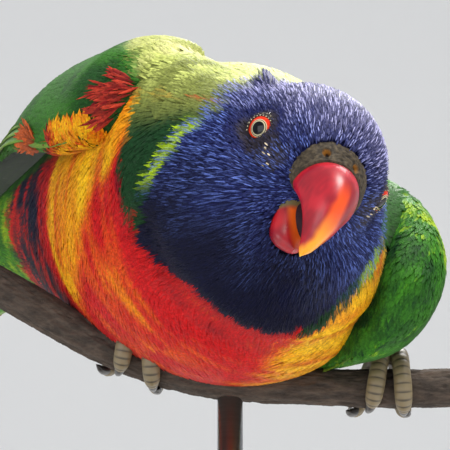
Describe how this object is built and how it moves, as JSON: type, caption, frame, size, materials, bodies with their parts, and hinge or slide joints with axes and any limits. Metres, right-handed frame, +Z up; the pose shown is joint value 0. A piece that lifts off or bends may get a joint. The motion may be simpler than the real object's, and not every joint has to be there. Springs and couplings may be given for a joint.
{
  "type": "rainbow lorikeet model",
  "caption": "Life-size still model of a rainbow lorikeet leaning forward from a cut branch that a round stand holds up.",
  "frame": {"origin": "centre of the underside of the stand's base", "axes": "+Z up, +X along the branch towards the bird's left foot, -Y towards the viewer that the bird looks at"},
  "size_m": [0.2028, 0.1746, 0.188],
  "materials": {
    "skin_feathers": "small contour feathers, soft and matt",
    "hood_feathers": "small stiff feathers with pale shafts, soft sheen",
    "wing_feathers": "vaned feathers, soft sheen",
    "tail_feathers": "long vaned feathers, soft sheen",
    "beak": "smooth horn, semi-gloss",
    "cere": "bare skin, matt, finely wrinkled",
    "eye": "wet, glossy",
    "leg_skin": "scaly skin, matt",
    "perch_bark": "dry bark, rough",
    "stand_base": "turned wood, satin",
    "stand_rod": "brushed"
  },
  "bodies": {
    "root": {"torso": "skin_feathers", "neck": "hood_feathers", "head": "hood_feathers", "upper_beak": "beak", "lower_beak": "beak", "cere": "cere", "eye_left": "eye", "eye_right": "eye", "wing_left": "wing_feathers", "wing_right": "wing_feathers", "tail": "tail_feathers", "leg_left": "leg_skin", "leg_right": "leg_skin", "perch": "perch_bark", "stand_base": "stand_base", "stand_rod": "stand_rod"}
  },
  "joints": []
}
